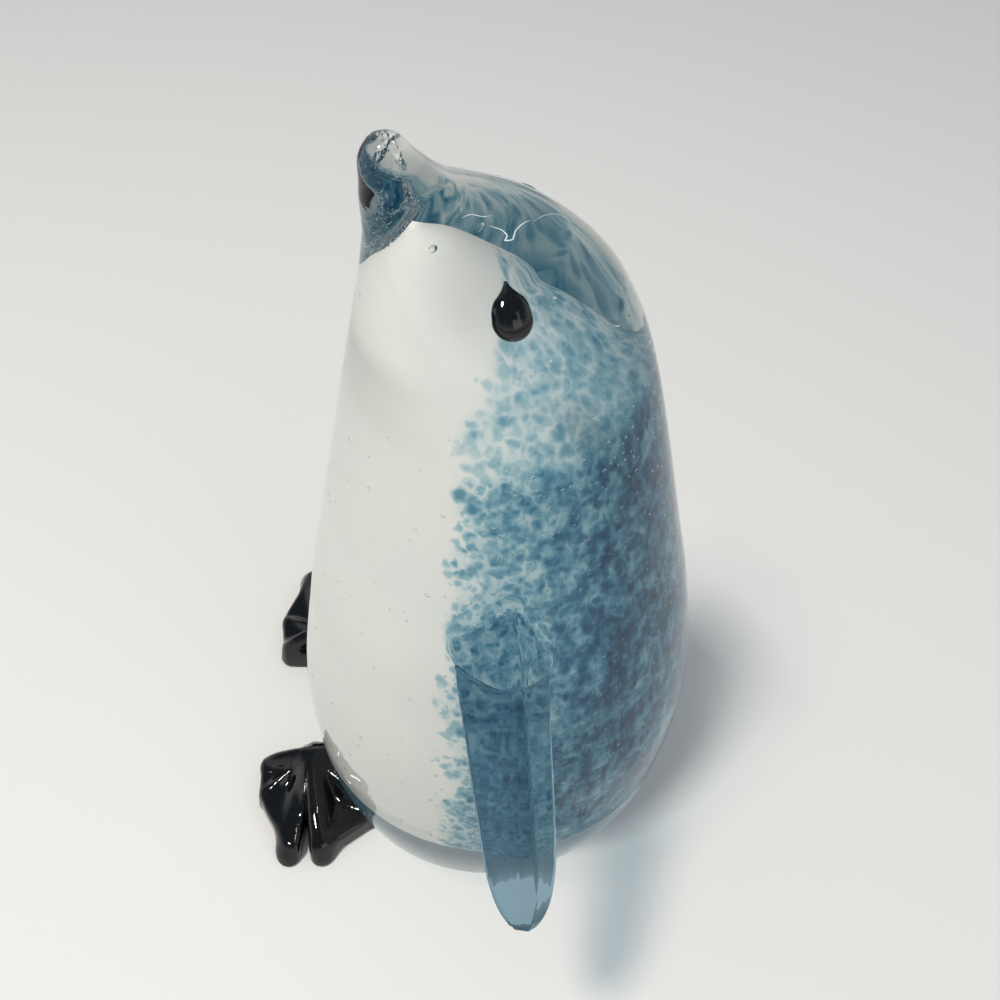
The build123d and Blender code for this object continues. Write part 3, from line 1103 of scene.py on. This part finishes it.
@dataclass(frozen=True)
class Bubbles:
    """Seed bubbles trapped in the clear glass just outside the colour."""

    core: Core
    density: float = 0.26e6
    smallest: float = 0.12 * MM
    largest: float = 0.32 * MM
    nearest: float = 0.3 * MM
    cover: float = 1.8 * MM
    seed: int = 11

    def thickening(
        self, nodes: bpy.types.Nodes, link: Callable, density: bpy.types.NodeSocket
    ) -> bpy.types.NodeSocket:
        """Thins the bubbles out over the white front and the crown, and leaves none underneath.

        Args:
            nodes: the tree's nodes.
            link: adds a link to the tree.
            density: how many there are for each square metre over the frit.

        Returns:
            The density at each place.
        """
        place, part = nodes.new("GeometryNodeInputPosition"), nodes.new("ShaderNodeSeparateXYZ")
        link(place.outputs[0], part.inputs[0])
        line = nodes.new("ShaderNodeMath")
        line.operation = "MULTIPLY_ADD"
        link(part.outputs["Z"], line.inputs[0])
        line.inputs[1].default_value = self.core.split_rise
        line.inputs[2].default_value = self.core.split_at_base
        behind = nodes.new("ShaderNodeMath")
        behind.operation = "SUBTRACT"
        link(part.outputs["Y"], behind.inputs[0])
        link(line.outputs[0], behind.inputs[1])
        for source, low, high, first, last in (
            (behind.outputs[0], -2.0 * MM, 6.0 * MM, 0.10, 1.0),
            (part.outputs["Z"], 13.0 * MM, 20.0 * MM, 0.0, 1.0),
            (part.outputs["Z"], 88.0 * MM, 97.0 * MM, 1.0, 0.08),
        ):
            share, result = nodes.new("ShaderNodeMapRange"), nodes.new("ShaderNodeMath")
            share.interpolation_type, result.operation = "SMOOTHSTEP", "MULTIPLY"
            link(source, share.inputs["Value"])
            for name, value in (("From Min", low), ("From Max", high), ("To Min", first), ("To Max", last)):
                share.inputs[name].default_value = value
            link(density, result.inputs[0])
            link(share.outputs[0], result.inputs[1])
            density = result.outputs[0]
        return density

    def build(self, material: bpy.types.Material) -> None:
        """Scatters the bubbles over the core."""
        carrier = self.core.surface("bubbles", self.core.wall)
        group = bpy.data.node_groups.new("scatter_bubbles", "GeometryNodeTree")
        face = group.interface
        face.new_socket("Geometry", in_out="INPUT", socket_type="NodeSocketGeometry")
        for name in ("Density", "Smallest", "Largest", "Cover"):
            face.new_socket(name, in_out="INPUT", socket_type="NodeSocketFloat")
        face.new_socket("Seed", in_out="INPUT", socket_type="NodeSocketInt")
        face.new_socket("Geometry", in_out="OUTPUT", socket_type="NodeSocketGeometry")
        nodes, link = group.nodes, group.links.new
        given, result = nodes.new("NodeGroupInput"), nodes.new("NodeGroupOutput")
        spread = nodes.new("GeometryNodeDistributePointsOnFaces")
        link(given.outputs["Geometry"], spread.inputs["Mesh"])
        link(self.thickening(nodes, link, given.outputs["Density"]), spread.inputs["Density"])
        link(given.outputs["Seed"], spread.inputs["Seed"])
        ball = nodes.new("GeometryNodeMeshUVSphere")
        ball.inputs["Segments"].default_value, ball.inputs["Rings"].default_value = 8, 6
        ball.inputs["Radius"].default_value = 1.0
        smooth = nodes.new("GeometryNodeSetShadeSmooth")
        link(ball.outputs["Mesh"], smooth.inputs["Geometry"])
        size = nodes.new("FunctionNodeRandomValue")
        link(given.outputs["Smallest"], size.inputs[2])
        link(given.outputs["Largest"], size.inputs[3])
        link(given.outputs["Seed"], size.inputs["Seed"])
        cover = nodes.new("FunctionNodeRandomValue")
        cover.inputs[2].default_value = self.nearest
        link(given.outputs["Cover"], cover.inputs[3])
        offset = nodes.new("ShaderNodeVectorMath")
        offset.operation = "SCALE"
        link(spread.outputs["Normal"], offset.inputs[0])
        link(cover.outputs[1], offset.inputs["Scale"])
        move = nodes.new("GeometryNodeSetPosition")
        link(spread.outputs["Points"], move.inputs["Geometry"])
        link(offset.outputs[0], move.inputs["Offset"])
        stamp = nodes.new("GeometryNodeInstanceOnPoints")
        link(move.outputs["Geometry"], stamp.inputs["Points"])
        link(smooth.outputs["Geometry"], stamp.inputs["Instance"])
        link(size.outputs[1], stamp.inputs["Scale"])
        real = nodes.new("GeometryNodeRealizeInstances")
        link(stamp.outputs["Instances"], real.inputs["Geometry"])
        dress = nodes.new("GeometryNodeSetMaterial")
        dress.inputs["Material"].default_value = material
        link(real.outputs["Geometry"], dress.inputs["Geometry"])
        link(dress.outputs["Geometry"], result.inputs["Geometry"])
        modifier = carrier.modifiers.new("scatter", "NODES")
        modifier.node_group = group
        values = {
            "Density": self.density,
            "Smallest": self.smallest,
            "Largest": self.largest,
            "Cover": self.cover,
            "Seed": self.seed,
        }
        for item in face.items_tree:
            if item.in_out == "INPUT" and item.name in values:
                modifier[item.identifier] = values[item.name]
        graph = bpy.context.evaluated_depsgraph_get()
        mesh = bpy.data.meshes.new_from_object(carrier.evaluated_get(graph))
        carrier.modifiers.remove(modifier)
        carrier.data = mesh
        finish_piece(carrier, material, Slot.CLEAR)


@dataclass(frozen=True)
class LoneBubbles:
    """The few bubbles that are large enough to be noticed one by one.

    Seven of the first eight places were found with a ray trace; the others were set one by one.
    """

    segments: int = 20
    places: tuple = (
        (3.2, -5.4, 117.0, 0.52),
        (18.1, -4.8, 72.4, 0.34),
        (17.0, -9.7, 67.2, 0.30),
        (22.2, 12.8, 56.2, 0.30),
        (12.7, -5.3, 91.6, 0.24),
        (1.6, -11.8, 109.6, 0.26),
        (14.5, 13.9, 81.0, 0.28),
        (16.9, 16.0, 66.7, 0.28),
        (-16.6, -9.0, 74.0, 0.40),
        (-14.0, 13.5, 78.0, 0.34),
        (-20.5, 9.0, 52.0, 0.32),
    )

    def build(self, material: bpy.types.Material) -> None:
        """Makes the bubbles as one piece."""
        turn = np.arange(self.segments) * math.tau / self.segments
        waist = np.stack([np.sin(turn), -np.cos(turn), np.zeros_like(turn)], axis=1)
        rings = [waist * math.sin(a) - (0.0, 0.0, math.cos(a)) for a in turn[1 : self.segments // 2]]
        ball, skin = spun(rings, (0.0, 0.0, -1.0), (0.0, 0.0, 1.0))
        parts = [((ball * radius + (x, y, z)) * MM, skin) for x, y, z, radius in self.places]
        piece = new_piece("lone_bubbles", *joined(parts))
        finish_piece(piece, material, Slot.CLEAR)


@dataclass(frozen=True)
class Wisps:
    """Threads of white glass, drawn thin and caught in the clear glass of the head.

    Fourteen of the sixteen points were found with a ray trace; two were set one by one.
    """

    sides: int = 8
    steps: int = 48
    threads: tuple = (
        ((3.9, 1.6, 122.0), (3.9, 2.8, 121.6), (4.6, 3.7, 121.2), (5.4, 3.5, 121.1), (4.9, 4.4, 121.0),
         (3.4, 4.6, 121.1), (1.7, 5.3, 121.0), (0.4, 6.2, 120.8)),
        ((4.1, -1.8, 123.1), (3.1, -0.8, 122.9), (2.8, 0.5, 122.5), (2.0, 1.6, 122.1)),
        ((0.2, 6.6, 120.5), (-2.1, 7.9, 119.9), (-3.8, 9.7, 118.9), (-4.0, 11.6, 117.7)),
    )
    thickness: tuple = (0.10, 0.06, 0.04)

    def build(self, material: bpy.types.Material) -> None:
        """Makes the threads as one piece."""
        turn = np.arange(self.sides) * math.tau / self.sides
        parts = []
        for thread, thickness in zip(self.threads, self.thickness):
            knots = np.arange(len(thread), dtype=float)
            at = np.linspace(0.0, len(thread) - 1.0, self.steps)
            path = np.stack([Eased(knots, values)(at) for values in zip(*thread)], axis=1)
            way = np.gradient(path, axis=0)
            way /= np.linalg.norm(way, axis=1, keepdims=True)
            first = np.cross(way, (0.3, 0.2, 1.0))
            first /= np.linalg.norm(first, axis=1, keepdims=True)
            second = np.cross(way, first)
            reach = thickness * np.sin(np.linspace(0.12, math.pi - 0.12, self.steps)) ** 0.5
            rings = [
                p + r * (np.cos(turn)[:, None] * a + np.sin(turn)[:, None] * b)
                for p, r, a, b in zip(path, reach, first, second)
            ]
            tube, skin = spun(rings, path[0] - way[0] * 0.05, path[-1] + way[-1] * 0.05)
            parts.append((tube * MM, skin))
        piece = new_piece("white_wisps", *joined(parts))
        finish_piece(piece, material, Slot.WHITE)


@dataclass(frozen=True)
class Studio:
    """The pale floor and background, the lamps and the camera."""

    floor_size: float = 3.0
    floor_gap: float = 0.1 * MM
    floor_colour: tuple = (0.74, 0.73, 0.71, 1.0)
    horizon: tuple = (0.78, 0.79, 0.79, 1.0)
    overhead: tuple = (0.13, 0.17, 0.20, 1.0)
    darkening: tuple = (0.04, 0.62)
    ambient: tuple = (0.36, 0.39, 0.42, 1.0)
    figurine_middle: tuple = (0.0, 0.0, 0.06)
    focal_length: float = 43.2
    eye_point: tuple = (0.1272, 0.0118, 0.2029)
    azimuth: float = 94.05
    elevation: float = 45.95
    roll: float = 0.34

    def floor(self) -> None:
        """Lays the floor."""
        size = self.floor_size
        low = -self.floor_gap
        corners = np.array([(-size, -size, low), (size, -size, low), (size, size, low), (-size, size, low)])
        floor = new_piece("floor", corners, [(0, 1, 2, 3)])
        r = Recipe("pale_floor")
        shader = r.node("BsdfPrincipled", {"Base Color": self.floor_colour, "Roughness": 0.6}).outputs[0]
        floor.data.materials.append(r.finish(shader))

    def camera(self) -> None:
        """Sets the camera where the photograph was taken from."""
        a, e, t = (math.radians(v) for v in (self.azimuth, self.elevation, self.roll))
        back = Vector((math.sin(a) * math.cos(e), -math.cos(a) * math.cos(e), math.sin(e)))
        right = Vector((math.cos(a), math.sin(a), 0.0))
        up = back.cross(right)
        across = right * math.cos(t) + up * math.sin(t)
        data = bpy.data.cameras.new("camera")
        data.lens, data.sensor_width = self.focal_length, 36.0
        data.clip_start = 0.01
        camera = bpy.data.objects.new("camera", data)
        turn = Matrix((across, back.cross(across), back)).transposed().to_4x4()
        camera.matrix_world = Matrix.Translation(self.eye_point) @ turn
        bpy.context.scene.collection.objects.link(camera)
        bpy.context.scene.camera = camera

    def lamp(self, name: str, place: tuple, aim: tuple, size: float, power: float, colour: tuple) -> None:
        """Hangs a soft square lamp.

        Args:
            name: the lamp's name.
            place: where it hangs.
            aim: the point it faces.
            size: its width.
            power: in watts.
            colour: the colour of its light.
        """
        data = bpy.data.lights.new(name, "AREA")
        data.size, data.energy, data.color = size, power, colour
        lamp = bpy.data.objects.new(name, data)
        lamp.location = place
        lamp.rotation_euler = (Vector(aim) - Vector(place)).to_track_quat("-Z", "Y").to_euler()
        bpy.context.scene.collection.objects.link(lamp)

    def world(self) -> None:
        """Fills the room with pale light; what the camera and the glass see darkens overhead."""
        world = bpy.data.worlds.new("pale_room")
        world.use_nodes = True
        bpy.context.scene.world = world
        tree = world.node_tree
        tree.nodes.clear()
        path = tree.nodes.new("ShaderNodeLightPath").outputs
        seen, fill = tree.nodes.new("ShaderNodeBackground"), tree.nodes.new("ShaderNodeBackground")
        place, part = tree.nodes.new("ShaderNodeTexCoord"), tree.nodes.new("ShaderNodeSeparateXYZ")
        tree.links.new(place.outputs["Generated"], part.inputs[0])
        dome = tree.nodes.new("ShaderNodeMapRange")
        dome.interpolation_type = "SMOOTHSTEP"
        dome.inputs["From Min"].default_value, dome.inputs["From Max"].default_value = self.darkening
        tree.links.new(part.outputs["Z"], dome.inputs["Value"])
        shade = tree.nodes.new("ShaderNodeMix")
        shade.data_type = "RGBA"
        shade.inputs[6].default_value, shade.inputs[7].default_value = self.horizon, self.overhead
        tree.links.new(dome.outputs[0], shade.inputs[0])
        tree.links.new(shade.outputs[2], seen.inputs["Color"])
        fill.inputs["Color"].default_value = self.ambient
        pale = path["Is Camera Ray"]
        for name in ("Is Glossy Ray", "Is Transmission Ray"):
            either = tree.nodes.new("ShaderNodeMath")
            either.operation = "MAXIMUM"
            tree.links.new(pale, either.inputs[0])
            tree.links.new(path[name], either.inputs[1])
            pale = either.outputs[0]
        mix = tree.nodes.new("ShaderNodeMixShader")
        out = tree.nodes.new("ShaderNodeOutputWorld")
        tree.links.new(pale, mix.inputs[0])
        tree.links.new(fill.outputs[0], mix.inputs[1])
        tree.links.new(seen.outputs[0], mix.inputs[2])
        tree.links.new(mix.outputs[0], out.inputs["Surface"])

    def build(self) -> None:
        """Sets up everything around the figurine."""
        self.floor()
        self.world()
        self.camera()
        aim = self.figurine_middle
        self.lamp("key", (0.20, -0.26, 0.80), aim, 0.13, 5.6, (1.0, 0.96, 0.90))
        self.lamp("fill", (0.5, 0.5, 0.45), aim, 0.5, 0.9, (0.90, 0.95, 1.0))
        bpy.context.scene.view_settings.view_transform = "Standard"


def main() -> None:
    """Builds the figurine, the stage, the lamps and the camera."""
    logging.basicConfig(level=logging.INFO, format="%(name)s %(message)s")
    body = Body()
    core = Core(body)
    clear, black = ClearFinish().material(), BlackFinish().material()
    # Painted shade: the flippers' glass is tinted blue-grey and passes a darker shadow, though the real
    # flippers are clear.
    drawn = ClearFinish(
        "clear_drawn_glass_painted_shade",
        glass_tint_and_painted_shade=(0.57, 0.69, 0.76),
        shade=(0.56, 0.64, 0.68),
        swell=0.08,
        cord=0.45,
        slant=Flipper.spread,
    ).material()
    ground = ClearFinish("clear_ground_glass", roughness=0.3).material()
    ClearGlass(body).build(clear, drawn, ground)
    core.build(FritFinish(core).material(), clear)
    Foot(body, Side.LEFT, 12.4, 55.0, 6.4 * MM).build(black)
    Foot(body, Side.RIGHT, 33.2, 34.0, 12.6 * MM, 1.12).build(black)
    for side in Side:
        Eye(body, side).build(black)
    air = AirFinish().material()
    Bubbles(core).build(air)
    LoneBubbles().build(air)
    Wisps().build(WispFinish().material())
    Studio().build()


if __name__ == "__main__":
    main()
